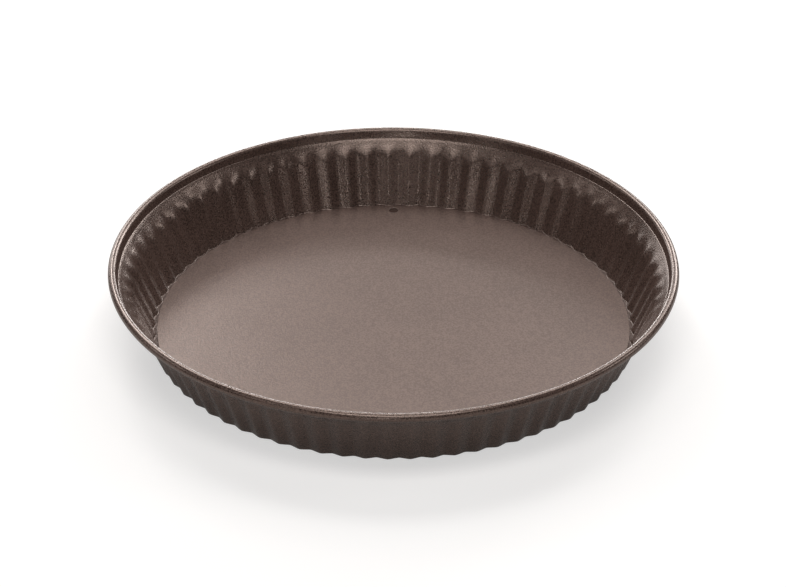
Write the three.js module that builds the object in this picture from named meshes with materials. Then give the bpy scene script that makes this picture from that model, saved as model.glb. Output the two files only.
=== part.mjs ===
// Fluted tart pan with a loose base: a pressed steel ring and a flat disc that drops into it.
// Millimetres, +Z up. The origin is on the table, under the middle of the pan.
import * as THREE from 'three';

// Base: a flat disc with a hanging hole near its edge
const baseDiameter = 243.4;
const baseSheet = 0.6;
const hangingHoleDiameter = 5.8;
const hangingHoleInset = 5.6; // from the edge of the base to the middle of the hole

// Ledge and bend: the foot of the ring, which the base lies on
const ringSheet = 0.5;
const ledgeOverlap = 9.5; // how far the ledge reaches in under the base, past the hanging hole
const baseEdgeGap = 0.2; // from the edge of the base to the grooves at the foot of the wall
const bendRadius = 0.8; // inside the bend, between ledge and wall

// Wall: leans out and carries the flutes
const wallHeight = 28.4; // from the ledge up to the smooth band
const wallLean = THREE.MathUtils.degToRad(22.2); // from upright
const fluteCount = 72;
const fluteDepth = 1.35;
const fluteTurn = THREE.MathUtils.degToRad(1.3); // where the first flute's groove lies, from +X
const headBelowBand = 3; // the flutes fade out over a head that starts below the band
const headAboveBand = 1.7; // and ends above the band's lower edge

// Smooth band, shoulder and collar: the round upper part of the wall
const bandHeight = 5;
const bandLean = THREE.MathUtils.degToRad(40);
const shoulderWidth = 0.25; // small step out from the band to the collar
const shoulderRise = 0.05;
const collarHeight = 3.2; // from the shoulder up to where the sheet starts to roll
const collarLean = THREE.MathUtils.degToRad(12.7);

// Rolled rim: the sheet rolls outwards and ends just short of the collar
const curlDiameter = 4.5;
const curlSweep = THREE.MathUtils.degToRad(285);

// Fineness of the facets
const roundColumns = 96;
const columnsPerFlute = 5;
const bendSteps = 2;
const curlSteps = 10;

const coating = { roughness: 0.42, metalness: 0.35 };
const ringMaterial = new THREE.MeshStandardMaterial({ color: 0x77665f, ...coating });
const baseMaterial = new THREE.MeshStandardMaterial({ color: 0x82726b, ...coating });

// A station is one point of the sheet's section: where its inner skin lies on the outermost line
// of the wall, which way the sheet's thickness points, and how deep the flutes are there.
function station(radius, height, thicknessAngle, flute = 0) {
  return { radius, height, thicknessAngle, flute };
}

// The section from the inner edge of the ledge, out, up the wall and round the rolled rim
function ringSection() {
  const ledgeTop = ringSheet;
  const bendStart = baseDiameter / 2 + baseEdgeGap + fluteDepth;
  const straightDown = -Math.PI / 2;
  const section = [
    station(baseDiameter / 2 - ledgeOverlap, ledgeTop, straightDown),
    station(bendStart, ledgeTop, straightDown, fluteDepth),
  ];

  // Bend: the flutes run down through it to the ledge at their full depth
  const bendTurn = Math.PI / 2 - wallLean;
  for (let step = 1; step <= bendSteps; step += 1) {
    const angle = straightDown + bendTurn * step / bendSteps;
    section.push(station(
      bendStart + bendRadius * Math.cos(angle),
      ledgeTop + bendRadius + bendRadius * Math.sin(angle),
      angle,
      fluteDepth,
    ));
  }

  // Wall and heads: straight up to the band, with the flutes fading from below it to above it
  const wallFoot = section.at(-1);
  const bandFoot = ledgeTop + wallHeight;
  const bandFootRadius = wallFoot.radius + (bandFoot - wallFoot.height) * Math.tan(wallLean);
  const headFootRadius = bandFootRadius - headBelowBand * Math.tan(wallLean);
  const headTopRadius = bandFootRadius + headAboveBand * Math.tan(bandLean);
  const partFaded = fluteDepth * headAboveBand / (headBelowBand + headAboveBand);
  section.push(
    station(headFootRadius, bandFoot - headBelowBand, -wallLean, fluteDepth),
    station(bandFootRadius, bandFoot, -(wallLean + bandLean) / 2, partFaded),
    station(headTopRadius, bandFoot + headAboveBand, -bandLean),
  );

  // Band, shoulder and collar
  const bandTopRadius = bandFootRadius + bandHeight * Math.tan(bandLean);
  const bandTop = bandFoot + bandHeight;
  const shoulderRadius = bandTopRadius + shoulderWidth;
  const shoulderTop = bandTop + shoulderRise;
  section.push(
    station(bandTopRadius, bandTop, -(bandLean + Math.PI / 2) / 2),
    station(shoulderRadius, shoulderTop, -(collarLean + Math.PI / 2) / 2),
  );

  // Rolled rim: starts in line with the collar, goes over the top, out and round underneath
  const curlRadius = curlDiameter / 2;
  const collarTopRadius = shoulderRadius + collarHeight * Math.tan(collarLean);
  const curlCentreRadius = collarTopRadius + curlRadius * Math.cos(collarLean);
  const curlCentreHeight = shoulderTop + collarHeight - curlRadius * Math.sin(collarLean);
  for (let step = 0; step <= curlSteps; step += 1) {
    const angle = Math.PI - collarLean - curlSweep * step / curlSteps;
    section.push(station(
      curlCentreRadius + curlRadius * Math.cos(angle),
      curlCentreHeight + curlRadius * Math.sin(angle),
      angle + Math.PI,
    ));
  }
  return section;
}

// How far a flute is pressed in at an angle round the pan: 1 in a groove, 0 on a lobe
function groove(angle) {
  return 0.5 + 0.5 * Math.cos(fluteCount * (angle - fluteTurn));
}

// One ring of points round the pan, at a station, as deep in the sheet as its thickness says
function addRow(positions, point, thickness) {
  const fluted = point.flute > 0;
  const row = {
    first: positions.length / 3,
    count: fluted ? fluteCount * columnsPerFlute : roundColumns,
    start: fluted ? fluteTurn : 0,
  };
  row.angle = (column) => row.start + 2 * Math.PI * column / row.count;
  row.vertex = (column) => row.first + column % row.count;
  const lobeRadius = point.radius + thickness * Math.cos(point.thicknessAngle);
  const height = point.height + thickness * Math.sin(point.thicknessAngle);
  for (let column = 0; column < row.count; column += 1) {
    const angle = row.angle(column);
    const radius = lobeRadius - point.flute * groove(angle);
    positions.push(radius * Math.cos(angle), radius * Math.sin(angle), height);
  }
  return row;
}

// Triangles between two rows, which may have different numbers of points
function addStrip(indices, row, next) {
  let i = 0;
  let j = 0;
  while (i < row.count || j < next.count) {
    const a = row.vertex(i);
    const b = next.vertex(j);
    const alongRow = j === next.count || (i < row.count && row.angle(i + 1) <= next.angle(j + 1));
    if (alongRow) {
      i += 1;
      indices.push(a, b, row.vertex(i));
    } else {
      j += 1;
      indices.push(a, b, next.vertex(j));
    }
  }
}

// The ring: its inner skin from the ledge to the free edge of the roll, then its outer skin back
function flutedRing() {
  const section = ringSection();
  const positions = [];
  const indices = [];
  const innerRows = section.map((point) => addRow(positions, point, 0));
  const outerRows = section.map((point) => addRow(positions, point, ringSheet));
  const rows = [...innerRows, ...outerRows.reverse()];
  rows.forEach((row, k) => addStrip(indices, row, rows[(k + 1) % rows.length]));

  const geometry = new THREE.BufferGeometry();
  geometry.setAttribute('position', new THREE.Float32BufferAttribute(positions, 3));
  geometry.setIndex(indices);
  geometry.computeVertexNormals();
  const ring = new THREE.Mesh(geometry, ringMaterial);
  ring.name = 'fluted_ring';
  return ring;
}

// The base: a flat disc on the ledge, its hanging hole at the back
function liftOutBase() {
  const baseRadius = baseDiameter / 2;
  const outline = new THREE.Shape();
  outline.absarc(0, 0, baseRadius, 0, 2 * Math.PI);
  const hole = new THREE.Path();
  hole.absarc(0, baseRadius - hangingHoleInset, hangingHoleDiameter / 2, 0, 2 * Math.PI, true);
  outline.holes.push(hole);
  const geometry = new THREE.ExtrudeGeometry(outline, {
    depth: baseSheet,
    bevelEnabled: false,
    curveSegments: roundColumns / 2, // a full circle takes twice as many
  });
  const base = new THREE.Mesh(geometry, baseMaterial);
  base.name = 'lift_out_base';
  base.position.z = ringSheet;
  return base;
}

const tartPan = new THREE.Group();
tartPan.add(flutedRing(), liftOutBase());

export default tartPan;
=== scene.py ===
import math

import bmesh
import bpy
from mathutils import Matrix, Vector


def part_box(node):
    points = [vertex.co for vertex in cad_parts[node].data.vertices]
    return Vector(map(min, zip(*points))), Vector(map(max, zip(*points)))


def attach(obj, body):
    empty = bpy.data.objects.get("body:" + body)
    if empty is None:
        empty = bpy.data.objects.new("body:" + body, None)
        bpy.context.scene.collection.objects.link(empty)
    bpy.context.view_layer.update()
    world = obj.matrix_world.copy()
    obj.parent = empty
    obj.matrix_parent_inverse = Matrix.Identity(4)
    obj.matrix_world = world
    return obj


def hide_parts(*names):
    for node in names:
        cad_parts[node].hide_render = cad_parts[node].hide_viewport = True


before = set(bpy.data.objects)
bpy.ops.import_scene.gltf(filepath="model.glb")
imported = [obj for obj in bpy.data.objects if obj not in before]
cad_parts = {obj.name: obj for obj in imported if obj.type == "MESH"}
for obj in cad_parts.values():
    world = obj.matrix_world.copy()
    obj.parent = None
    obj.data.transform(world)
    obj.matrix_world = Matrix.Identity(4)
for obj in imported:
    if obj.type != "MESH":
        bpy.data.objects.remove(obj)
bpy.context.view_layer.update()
mm = 0.001
samePoint = 0.001 * mm                # points closer than this are one point
print("frame loaded:", sorted(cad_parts))


# helpers for working by hand

def deselectAll():
    if bpy.context.mode != "OBJECT":
        bpy.ops.object.mode_set(mode="OBJECT")
    bpy.ops.object.select_all(action="DESELECT")


def makeActive(piece):
    deselectAll()
    piece.select_set(True)
    bpy.context.view_layer.objects.active = piece


def selectFaces(test):
    bpy.ops.mesh.select_mode(type="FACE")
    bpy.ops.mesh.select_all(action="DESELECT")
    mesh = bmesh.from_edit_mesh(bpy.context.edit_object.data)
    for face in mesh.faces:
        face.select_set(test(face))
    bmesh.update_edit_mesh(bpy.context.edit_object.data)


def addModifier(piece, kind, **settings):
    makeActive(piece)
    modifier = piece.modifiers.new(kind.lower(), kind)
    for key, value in settings.items():
        setattr(modifier, key, value)
    bpy.ops.object.modifier_apply(modifier=modifier.name)


# camera, where the photograph was taken from

cameraSet = {
    "aim": Vector((-0.26, 0, 17.3)) * mm,
    "distance": 1.3,
    "elevation": math.radians(31.2),
    "roll": math.radians(0.12),
    "lens": 115.94,
    "sensor": 36,
}


def makeCamera(s):
    deselectAll()
    back = Vector((0, -math.cos(s["elevation"]), math.sin(s["elevation"])))
    bpy.ops.object.camera_add(location=s["aim"] + back * s["distance"])
    camera = bpy.context.object
    camera.name = "photoCamera"
    camera.rotation_euler = (math.pi / 2 - s["elevation"], 0, 0)
    camera.rotation_euler.rotate_axis("Z", s["roll"])
    camera.data.lens = s["lens"]
    camera.data.sensor_width = s["sensor"]
    bpy.context.scene.camera = camera


makeCamera(cameraSet)
print("camera placed")


# ring: one sheet from the ledge under the base up to the rolled rim, in millimetres

ringSet = {
    "sheet": 0.5,
    "ledgeOverlap": 9.5,
    "plainLedgeEnd": 1.0,             # inside the base's edge, where the flutes start in the ledge
    "baseEdgeGap": 0.15,              # from the base to the grooves at the foot of the wall
    "bendRadius": 0.8,
    "bendSteps": 4,
    "wallHeight": 28.4,
    "wallLean": math.radians(22.2),
    "wallRows": 4,
    "fluteCount": 72,
    "fluteDepth": 1.45,               # at the foot of the wall
    "headDepth": 1.8,                 # at the top, where the flutes start to fade
    "fluteCrispness": 0.93,           # 0 for round flutes, 1 for flat flanks with sharp bends
    "columnsPerFlute": 12,
    "lobeAngle": math.radians(3.8),   # where a lobe lies, from +X
    "headBelowBand": 4.5,
    "headAboveBand": 3.6,
    "headRows": 10,
    "bandHeight": 5.0,
    "bandLean": math.radians(40),
    "bandSoftening": 2.2,             # the wall turns into the band over this height, each way
    "shoulderWidth": 0.25,
    "shoulderRise": 0.05,
    "shoulderRound": 0.1,             # at both its edges
    "roundSag": 0.12,                 # this and the next two are shares of that round
    "bandEdgeShare": 0.3,
    "collarEdgeShare": 0.2,
    "collarHeight": 3.2,
    "collarLean": math.radians(12.7),
    "curlDiameter": 4.448,
    "curlSweep": math.radians(285),
    "curlSteps": 20,
    "sharpAngle": math.radians(50),   # bends under this are shaded smooth
}


def smoothStep(share):
    share = min(max(share, 0), 1)
    return share * share * (3 - 2 * share)


# a point of the plain sheet, some way up it from another
def alongSheet(radius, height, lean, distance):
    return (radius + distance * math.sin(lean), height + distance * math.cos(lean), 0)


# the sheet's section on a lobe, as (radius, height, flute depth) from the ledge to the rim's free edge
def ringSection(s):
    # ledge and bend
    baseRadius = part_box("lift_out_base")[1].x / mm
    ledgeTop = s["sheet"]
    bendStart = baseRadius + s["baseEdgeGap"] + s["fluteDepth"]
    rows = [
        (baseRadius - s["ledgeOverlap"], ledgeTop, 0),
        (baseRadius - s["plainLedgeEnd"], ledgeTop, 0),
        (bendStart, ledgeTop, s["fluteDepth"]),
    ]
    for step in range(1, s["bendSteps"] + 1):
        angle = -math.pi / 2 + (math.pi / 2 - s["wallLean"]) * step / s["bendSteps"]
        radius = bendStart + s["bendRadius"] * math.cos(angle)
        height = ledgeTop + s["bendRadius"] * (1 + math.sin(angle))
        rows.append((radius, height, s["fluteDepth"]))

    # wall, with flutes that get deeper towards their heads
    footRadius, footHeight = rows[-1][:2]
    bandFoot = ledgeTop + s["wallHeight"]
    headFoot = bandFoot - s["headBelowBand"]
    headTop = bandFoot + s["headAboveBand"]
    for step in range(1, s["wallRows"] + 1):
        height = footHeight + (headFoot - footHeight) * step / s["wallRows"]
        radius = footRadius + (height - footHeight) * math.tan(s["wallLean"])
        deepening = (s["headDepth"] - s["fluteDepth"]) * step / s["wallRows"]
        rows.append((radius, height, s["fluteDepth"] + deepening))

    # heads, fading while the wall turns softly into the band
    leanChange = math.tan(s["bandLean"]) - math.tan(s["wallLean"])
    bandFootRadius = footRadius + (bandFoot - footHeight) * math.tan(s["wallLean"])
    softening = s["bandSoftening"]
    for step in range(1, s["headRows"] + 1):
        share = step / s["headRows"]
        height = headFoot + (headTop - headFoot) * share
        over = min(max(height - bandFoot + softening, 0), 2 * softening)
        radius = bandFootRadius + (height - bandFoot) * math.tan(s["wallLean"])
        radius += leanChange * (over ** 2 / (4 * softening) + max(height - bandFoot - softening, 0))
        rows.append((radius, height, s["headDepth"] * (1 - smoothStep(share))))

    # shoulder, from the top of the band to the foot of the collar
    bandTop = bandFoot + s["bandHeight"]
    bandTopRadius = bandFootRadius + s["bandHeight"] * math.tan(s["bandLean"])
    shoulderRadius = bandTopRadius + s["shoulderWidth"]
    shoulderTop = bandTop + s["shoulderRise"]
    soft = s["shoulderRound"]
    sag = soft * s["roundSag"]
    rows += [
        alongSheet(bandTopRadius, bandTop, s["bandLean"], -soft),
        (bandTopRadius + soft * s["bandEdgeShare"], bandTop - sag, 0),
        (shoulderRadius - soft, shoulderTop - sag, 0),
        (shoulderRadius - soft * s["collarEdgeShare"], shoulderTop + sag, 0),
        alongSheet(shoulderRadius, shoulderTop, s["collarLean"], soft),
    ]

    # rolled rim, in line with the collar where it starts
    curlRadius = s["curlDiameter"] / 2
    collarTopRadius = shoulderRadius + s["collarHeight"] * math.tan(s["collarLean"])
    centreRadius = collarTopRadius + curlRadius * math.cos(s["collarLean"])
    centreHeight = shoulderTop + s["collarHeight"] - curlRadius * math.sin(s["collarLean"])
    for step in range(s["curlSteps"] + 1):
        angle = math.pi - s["collarLean"] - s["curlSweep"] * step / s["curlSteps"]
        radius = centreRadius + curlRadius * math.cos(angle)
        height = centreHeight + curlRadius * math.sin(angle)
        rows.append((radius, height, 0))
    return rows


def drawSection(rows):
    bpy.ops.mesh.primitive_plane_add(size=1)
    bpy.ops.object.mode_set(mode="EDIT")
    bpy.ops.mesh.merge(type="CENTER")
    here = Vector((0, 0, 0))
    for number, (radius, height, _) in enumerate(rows):
        there = Vector((radius, 0, height)) * mm
        if number == 0:
            bpy.ops.transform.translate(value=there - here)
        else:
            bpy.ops.mesh.extrude_region_move(TRANSFORM_OT_translate={"value": there - here})
        here = there


# selects the two points of a row that lie the same share of a flute in from its two ends
def selectPair(radius, height, share, s):
    pitch = 2 * math.pi / s["fluteCount"]
    quarterColumn = 0.25 / s["columnsPerFlute"]
    mesh = bmesh.from_edit_mesh(bpy.context.edit_object.data)
    for vert in mesh.verts:
        turn = abs(math.atan2(vert.co.y, vert.co.x)) / pitch
        inColumn = min(abs(turn - share), abs(turn - 1 + share)) < quarterColumn
        atHeight = abs(vert.co.z - height * mm) < samePoint
        atRadius = abs(vert.co.xy.length - radius * mm) < samePoint
        vert.select = inColumn and atHeight and atRadius
    mesh.select_flush(True)
    bmesh.update_edit_mesh(bpy.context.edit_object.data)


# spins the section over one flute, from lobe to lobe, and presses its groove in
def pressFlute(rows, s):
    pitch = 2 * math.pi / s["fluteCount"]
    columns = s["columnsPerFlute"]
    crispness = s["fluteCrispness"]
    bpy.ops.mesh.select_all(action="SELECT")
    bpy.ops.mesh.spin(steps=columns, angle=pitch, center=(0, 0, 0), axis=(0, 0, 1))
    bpy.ops.mesh.select_mode(type="VERT")
    for radius, height, depth in rows:
        if depth == 0:
            continue
        for column in range(1, columns // 2 + 1):
            share = column / columns
            swing = math.asin(crispness * math.cos(2 * math.pi * share))
            groove = 0.5 - 0.5 * swing / math.asin(crispness)
            factor = 1 - depth * groove / radius
            selectPair(radius, height, share, s)
            bpy.ops.transform.resize(value=(factor, factor, 1), center_override=(0, 0, 0))


def makeRing(s):
    deselectAll()
    rows = ringSection(s)
    drawSection(rows)
    pressFlute(rows, s)
    pitch = 2 * math.pi / s["fluteCount"]
    bpy.ops.mesh.select_all(action="SELECT")
    bpy.ops.mesh.spin(
        steps=s["fluteCount"] - 1, dupli=True, angle=2 * math.pi - pitch, center=(0, 0, 0), axis=(0, 0, 1)
    )
    bpy.ops.mesh.select_all(action="SELECT")
    bpy.ops.mesh.remove_doubles(threshold=samePoint)
    bpy.ops.transform.rotate(value=-s["lobeAngle"], orient_axis="Z", center_override=(0, 0, 0))
    bpy.ops.mesh.normals_make_consistent(inside=False)
    bpy.ops.object.mode_set(mode="OBJECT")
    ring = bpy.context.object
    ring.name = "flutedRing"
    addModifier(ring, "SOLIDIFY", thickness=s["sheet"] * mm, offset=-1, use_even_offset=True)
    bpy.ops.object.shade_smooth_by_angle(angle=s["sharpAngle"])
    return ring


ring = makeRing(ringSet)
print("ring made:", len(ring.data.polygons), "faces")


# base: a flat disc with a hanging hole near its back edge, in millimetres

baseSet = {
    "segments": 288,
    "holeDiameter": 5.0,
    "holeInset": 5.3,                 # from the base's edge to the middle of the hole
    "holeSegments": 48,
    "cutterLength": 10,
    "dishWidth": 0.8,                 # the sheet is pressed down a little round the hole
    "dishDepth": 0.185,
    "edgeRound": 0.2,
    "edgeSteps": 3,
    "edgeAngle": math.radians(40),    # edges over this get the round
    "levelNormal": 0.999,             # faces this level are shaded flat
}


def cutAway(piece, cutter):
    addModifier(piece, "BOOLEAN", object=cutter, operation="DIFFERENCE", solver="EXACT")
    bpy.data.objects.remove(cutter)


def makeBase(s):
    low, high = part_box("lift_out_base")
    middle = Vector((0, 0, (low.z + high.z) / 2))
    deselectAll()
    bpy.ops.mesh.primitive_cylinder_add(
        vertices=s["segments"], radius=high.x, depth=high.z - low.z, location=middle
    )
    base = bpy.context.object
    base.name = "liftOutBase"
    bpy.ops.object.transform_apply()

    # hole, and the dish round it
    holePlace = middle + Vector((0, high.y - s["holeInset"] * mm, 0))
    holeRadius = s["holeDiameter"] / 2 * mm
    deselectAll()
    bpy.ops.mesh.primitive_cylinder_add(
        vertices=s["holeSegments"], radius=holeRadius, depth=s["cutterLength"] * mm, location=holePlace
    )
    cutAway(base, bpy.context.object)
    deselectAll()
    bpy.ops.mesh.primitive_cone_add(
        vertices=s["holeSegments"], radius1=holeRadius, radius2=holeRadius + 2 * s["dishWidth"] * mm,
        depth=2 * s["dishDepth"] * mm, location=(holePlace.x, holePlace.y, high.z)
    )
    cutAway(base, bpy.context.object)

    # rounded edges, and flat shading on both faces
    addModifier(
        base, "BEVEL", width=s["edgeRound"] * mm, segments=s["edgeSteps"], limit_method="ANGLE",
        angle_limit=s["edgeAngle"]
    )
    bpy.ops.object.shade_smooth()
    bpy.ops.object.mode_set(mode="EDIT")
    selectFaces(lambda face: abs(face.normal.z) > s["levelNormal"])
    bpy.ops.mesh.faces_shade_flat()
    bpy.ops.object.mode_set(mode="OBJECT")
    return base


base = makeBase(baseSet)
print("base made:", len(base.data.polygons), "faces")


# coating: satin brown non-stick, grainy on the ring and smoother on the base, in millimetres

ringCoatingSet = {
    "dark": (0.034, 0.020, 0.016, 1),
    "light": (0.108, 0.068, 0.056, 1),
    "tint": (1, 0.77, 0.66, 1),       # of the reflections
    "ior": 1.9,
    "roughness": 0.28,
    "roughnessSpread": 0.10,
    "grainSize": 0.8,
    "grainContrast": 3.5,
    "grainHeight": 0.12,
    "patchSize": 28,
    "patchContrast": 0.8,
    "dentSize": 11,                   # uneven places left by the pressing
    "dentHeight": 0.12,
}
baseCoatingSet = {
    "dark": (0.058, 0.036, 0.029, 1),
    "light": (0.127, 0.084, 0.071, 1),
    "tint": (1, 0.77, 0.66, 1),
    "ior": 1.9,
    "roughness": 0.38,
    "roughnessSpread": 0.06,
    "grainSize": 0.8,
    "grainContrast": 5,
    "grainHeight": 0.09,
    "patchSize": 40,
    "patchContrast": 0.8,
    "dentSize": 60,
    "dentHeight": 0.03,
}
ledgeShadeSet = {
    # painted shade: the dark colour of the ledge under the base and of the pockets at the foot of the
    # wall
    "shadeColour": (0.080, 0.052, 0.043, 1),
    "edge": 121,                      # under the base out to here
    "top": 0.6,
    "pocketShadeShare": 0.55,              # share of the painted shade outside the base, in the pockets at the foot of the wall
    "plainShine": 0.5,                # of the coating everywhere else
}
rimSet = {
    "foot": 35.2,                     # above the table
    "smoothness": 0.75,               # share of the grain that is gone
}


def addNode(tree, kind, inputs):
    node = tree.nodes.new("ShaderNode" + kind)
    for key, value in inputs.items():
        if isinstance(value, bpy.types.NodeSocket):
            tree.links.new(value, node.inputs[key])
        else:
            node.inputs[key].default_value = value
    return node


def addMath(tree, operation, *values):
    node = addNode(tree, "Math", dict(enumerate(values)))
    node.operation = operation
    return node.outputs[0]


# by number, because a Mix node has sockets of the same name for each kind of value
def addMix(tree, share, first, second):
    node = addNode(tree, "Mix", {0: share, 6: first, 7: second})
    node.data_type = "RGBA"
    return node.outputs[2]


def addPlace(tree):
    return addNode(tree, "TexCoord", {}).outputs["Object"]


def addNoise(tree, place, size):
    return addNode(tree, "TexNoise", {"Vector": place, "Scale": 1 / (size * mm), "Detail": 2}).outputs[0]


# a noise stretched about its middle
def addContrast(tree, noise, contrast):
    return addMath(tree, "MULTIPLY", addMath(tree, "SUBTRACT", noise, 0.5), contrast)


def makeCoating(name, s):
    material = bpy.data.materials.new(name)
    material.use_nodes = True
    tree = material.node_tree
    shader = tree.nodes["Principled BSDF"]
    place = addPlace(tree)
    grain = addNoise(tree, place, s["grainSize"])
    patch = addNoise(tree, place, s["patchSize"])
    dents = addNoise(tree, place, s["dentSize"])

    fine = addContrast(tree, grain, s["grainContrast"])
    broad = addContrast(tree, patch, s["patchContrast"])
    shade = addMath(tree, "ADD", addMath(tree, "ADD", fine, broad), 0.5)
    tree.links.new(addMix(tree, shade, s["dark"], s["light"]), shader.inputs["Base Color"])
    uneven = addContrast(tree, grain, s["roughnessSpread"])
    tree.links.new(addMath(tree, "ADD", uneven, s["roughness"]), shader.inputs["Roughness"])
    shader.inputs["IOR"].default_value = s["ior"]
    shader.inputs["Specular Tint"].default_value = s["tint"]

    dentBump = addNode(tree, "Bump", {"Height": dents, "Distance": s["dentHeight"] * mm, "Strength": 1})
    grainBump = addNode(tree, "Bump", {"Height": grain, "Distance": s["grainHeight"] * mm, "Strength": 1})
    tree.links.new(dentBump.outputs[0], grainBump.inputs["Normal"])
    tree.links.new(grainBump.outputs[0], shader.inputs["Normal"])
    return material


# painted shade: the ledge under the base is painted dark and less shiny, and the pockets at the foot of
# the wall partly so, in place of the shade there
def paintLedgeShade(material, s):
    tree = material.node_tree
    shader = tree.nodes["Principled BSDF"]
    x, y, z = addNode(tree, "SeparateXYZ", {0: addPlace(tree)}).outputs
    squares = addMath(tree, "ADD", addMath(tree, "MULTIPLY", x, x), addMath(tree, "MULTIPLY", y, y))
    covered = addMath(tree, "LESS_THAN", squares, (s["edge"] * mm) ** 2)
    low = addMath(tree, "LESS_THAN", z, s["top"] * mm)
    # painted shade mask: all of the ledge under the base, and part of the pockets at the foot of the wall
    # outside it
    paintedShade = addMath(tree, "MULTIPLY", addMath(tree, "MAXIMUM", covered, s["pocketShadeShare"]), low)
    coat = shader.inputs["Base Color"].links[0].from_socket
    tree.links.new(addMix(tree, paintedShade, coat, s["shadeColour"]), shader.inputs["Base Color"])
    shine = addMath(tree, "MULTIPLY", addMath(tree, "SUBTRACT", 1, paintedShade), s["plainShine"])
    tree.links.new(shine, shader.inputs["Specular IOR Level"])


# the rolling stretches the rim smooth, so little of the grain is left on it
def smoothRim(material, s):
    tree = material.node_tree
    grainBump = tree.nodes["Principled BSDF"].inputs["Normal"].links[0].from_node
    height = addNode(tree, "SeparateXYZ", {0: addPlace(tree)}).outputs["Z"]
    rolled = addMath(tree, "GREATER_THAN", height, s["foot"] * mm)
    smooth = addMath(tree, "MULTIPLY", rolled, s["smoothness"])
    tree.links.new(addMath(tree, "SUBTRACT", 1, smooth), grainBump.inputs["Strength"])


ringCoating = makeCoating("ringCoating", ringCoatingSet)
# painted shade on the ledge under the base and in the pockets at the foot of the wall
paintLedgeShade(ringCoating, ledgeShadeSet)
smoothRim(ringCoating, rimSet)
baseCoating = makeCoating("baseCoating", baseCoatingSet)
for piece, coating in ((ring, ringCoating), (base, baseCoating)):
    piece.data.materials.clear()
    piece.data.materials.append(coating)
print("materials set")


# pieces on their bodies

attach(ring, "ring")
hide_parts("fluted_ring")
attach(base, "base")
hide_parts("lift_out_base")


# floor and light, in metres

stageSet = {
    "floorSize": 12.0,
    "floorColour": (0.53, 0.51, 0.495, 1),
    "floorGlow": 0.55,                # lifts the lit floor to white for the camera
    "mirroredGlow": 0.13,             # of the floor in reflections
    "worldGlow": 1.0,                 # white for the camera
    "mirroredSky": 0.03,
    "worldStrength": 0.02,            # as a light
    "lampDistance": 2.2,
}

# name, bearing (degrees from +X), rise (degrees up), width and height, radiance
lamps = [
    ("overBack", 90, 57, (1.4, 0.5), 6.0),
    ("topFront", 270, 72, (1.4, 0.7), 5.2),
    ("frontTop", 270, 48, (0.9, 0.4), 2.7),
    ("frontLeft", 215, 40, (0.6, 0.4), 2.0),
    ("sideLeft", 172, 28, (0.6, 0.4), 3.5),
    ("sideRight", 8, 28, (0.6, 0.4), 5.4),
    ("backTopLeft", 120, 42, (0.9, 0.6), 4.2),
    ("backTopRight", 60, 42, (0.9, 0.6), 3.2),
    ("backMid", 84, 27, (0.7, 0.2), 2.2),
    ("keyLeft", 108, 31, (0.4, 0.5), 10.8),
    ("backLeft", 112, 24, (0.4, 0.3), 2.8),
    ("backRight", 62, 22, (0.8, 0.5), 10.2),
    ("backLowLeft", 118, 10, (0.9, 0.5), 3.2),
    ("backLow", 90, 5, (1.2, 0.3), 11.5),
    ("frontLow", 266, 14, (0.3, 0.25), 8.4),
    ("lowLeft", 232, 14, (0.3, 0.25), 3.6),
    ("lowRight", 300, 14, (0.3, 0.25), 2.8),
]


# how bright a backdrop looks to the camera and in reflections
def addBackdropGlow(tree, direct, mirrored):
    rays = addNode(tree, "LightPath", {}).outputs
    bounced = addMath(tree, "ADD", rays["Is Glossy Ray"], rays["Is Transmission Ray"])
    seen = addMath(tree, "MULTIPLY", rays["Is Camera Ray"], direct)
    return addMath(tree, "ADD", seen, addMath(tree, "MULTIPLY", bounced, mirrored))


def makeFloor(s):
    deselectAll()
    bpy.ops.mesh.primitive_plane_add(size=s["floorSize"])
    floor = bpy.context.object
    floor.name = "floor"
    material = bpy.data.materials.new("paleFloor")
    material.use_nodes = True
    tree = material.node_tree
    shader = tree.nodes["Principled BSDF"]
    shader.inputs["Base Color"].default_value = s["floorColour"]
    shader.inputs["Roughness"].default_value = 1
    shader.inputs["Specular IOR Level"].default_value = 0
    shader.inputs["Emission Color"].default_value = (1, 1, 1, 1)
    glow = addBackdropGlow(tree, s["floorGlow"], s["mirroredGlow"])
    tree.links.new(glow, shader.inputs["Emission Strength"])
    floor.data.materials.append(material)


# white where the camera sees it, dim as a light
def makeWorld(s):
    world = bpy.data.worlds.new("studio")
    bpy.context.scene.world = world
    world.use_nodes = True
    tree = world.node_tree
    background = tree.nodes["Background"]
    background.inputs["Color"].default_value = (1, 1, 1, 1)
    glow = addBackdropGlow(tree, s["worldGlow"], s["mirroredSky"])
    strength = addMath(tree, "MAXIMUM", glow, s["worldStrength"])
    tree.links.new(strength, background.inputs["Strength"])


# a soft panel that faces the pan
def makeLamp(distance, name, bearing, rise, size, radiance):
    deselectAll()
    turn, lift = math.radians(bearing), math.radians(rise)
    toLamp = Vector((math.cos(turn) * math.cos(lift), math.sin(turn) * math.cos(lift), math.sin(lift)))
    bpy.ops.object.light_add(type="AREA", location=toLamp * distance)
    lamp = bpy.context.object
    lamp.name = name
    lamp.data.shape = "RECTANGLE"
    lamp.data.size, lamp.data.size_y = size
    lamp.data.energy = radiance * math.pi * size[0] * size[1]
    lamp.rotation_euler = (-toLamp).to_track_quat("-Z", "Y").to_euler()


makeFloor(stageSet)
makeWorld(stageSet)
for lampSet in lamps:
    makeLamp(stageSet["lampDistance"], *lampSet)
bpy.context.scene.view_settings.view_transform = "Standard"
print("stage set")
